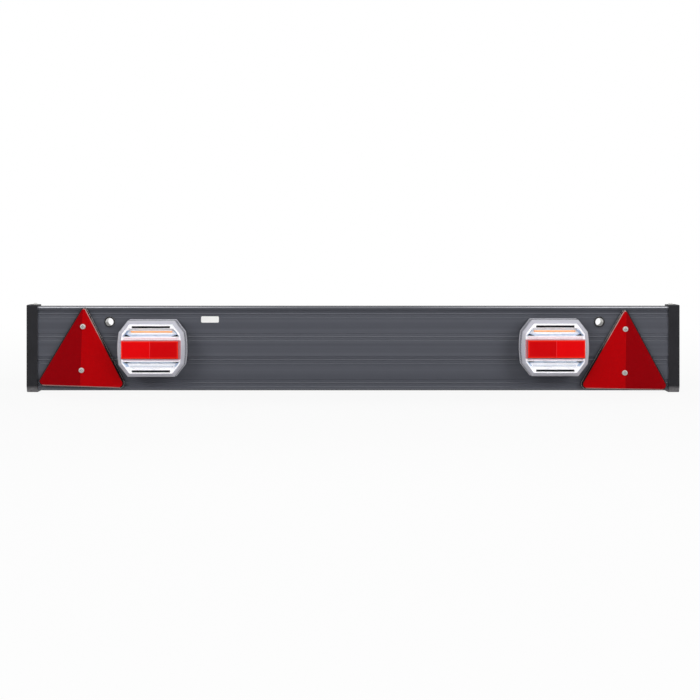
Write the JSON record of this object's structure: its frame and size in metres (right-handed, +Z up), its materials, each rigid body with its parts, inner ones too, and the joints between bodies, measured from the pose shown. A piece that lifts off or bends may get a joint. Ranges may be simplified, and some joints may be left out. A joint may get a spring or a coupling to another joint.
{
  "type": "trailer lighting board",
  "caption": "Black hollow lighting board for the back of a trailer, with an LED lamp, a red triangular reflector and a bolt hole near each end.",
  "frame": {"origin": "on the plane that the end caps stand on, under the middle of the overall box", "axes": "+X along the board to the viewer's right, -Y out of the lit face, +Z up"},
  "size_m": [1.2, 0.079, 0.1632],
  "materials": {
    "anodised_black": "satin black anodised extrusion",
    "cap_plastic": "fine moulded texture",
    "zinc_steel": "bright zinc plated",
    "label_white": "blank printed film",
    "reflector_red": "polished, prisms behind the face",
    "back_plate_plastic": "moulded",
    "lamp_base_plastic": "moulded",
    "gasket_foam": "closed-cell foam",
    "gland_rubber": "soft moulded",
    "circuit_laminate": "solder mask",
    "diode_resin": "cast resin",
    "bright_tray": "white moulding, slopes metallised",
    "amber_guide": "clear amber moulding",
    "clear_guide": "clear moulding",
    "frosted_bar": "frosted moulding",
    "reflex_red": "polished, prisms behind the face",
    "clear_cover": "polished clear moulding"
  },
  "bodies": {
    "root": {"blank_label": "label_white", "board_profile": "anodised_black", "cable_grommet": "gland_rubber", "end_cap_left": "cap_plastic", "end_cap_right": "cap_plastic", "end_cap_screws": "zinc_steel", "lamp_left_base": "lamp_base_plastic", "lamp_left_brake_bar": "frosted_bar", "lamp_left_circuit_board": "circuit_laminate", "lamp_left_diodes": "diode_resin", "lamp_left_fog_guide": "clear_guide", "lamp_left_gasket": "gasket_foam", "lamp_left_gland": "gland_rubber", "lamp_left_indicator_guide": "amber_guide", "lamp_left_lens": "clear_cover", "lamp_left_nuts": "zinc_steel", "lamp_left_reflex_panel": "reflex_red", "lamp_left_studs": "zinc_steel", "lamp_left_tail_bar": "frosted_bar", "lamp_left_tray": "bright_tray", "lamp_left_washers": "zinc_steel", "lamp_right_base": "lamp_base_plastic", "lamp_right_brake_bar": "frosted_bar", "lamp_right_circuit_board": "circuit_laminate", "lamp_right_diodes": "diode_resin", "lamp_right_fog_guide": "clear_guide", "lamp_right_gasket": "gasket_foam", "lamp_right_gland": "gland_rubber", "lamp_right_indicator_guide": "amber_guide", "lamp_right_lens": "clear_cover", "lamp_right_nuts": "zinc_steel", "lamp_right_reflex_panel": "reflex_red", "lamp_right_studs": "zinc_steel", "lamp_right_tail_bar": "frosted_bar", "lamp_right_tray": "bright_tray", "lamp_right_washers": "zinc_steel", "mount_bush_left": "zinc_steel", "mount_bush_right": "zinc_steel", "reflector_left_back": "back_plate_plastic", "reflector_left_lens": "reflector_red", "reflector_left_screws": "zinc_steel", "reflector_right_back": "back_plate_plastic", "reflector_right_lens": "reflector_red", "reflector_right_screws": "zinc_steel"}
  },
  "joints": []
}
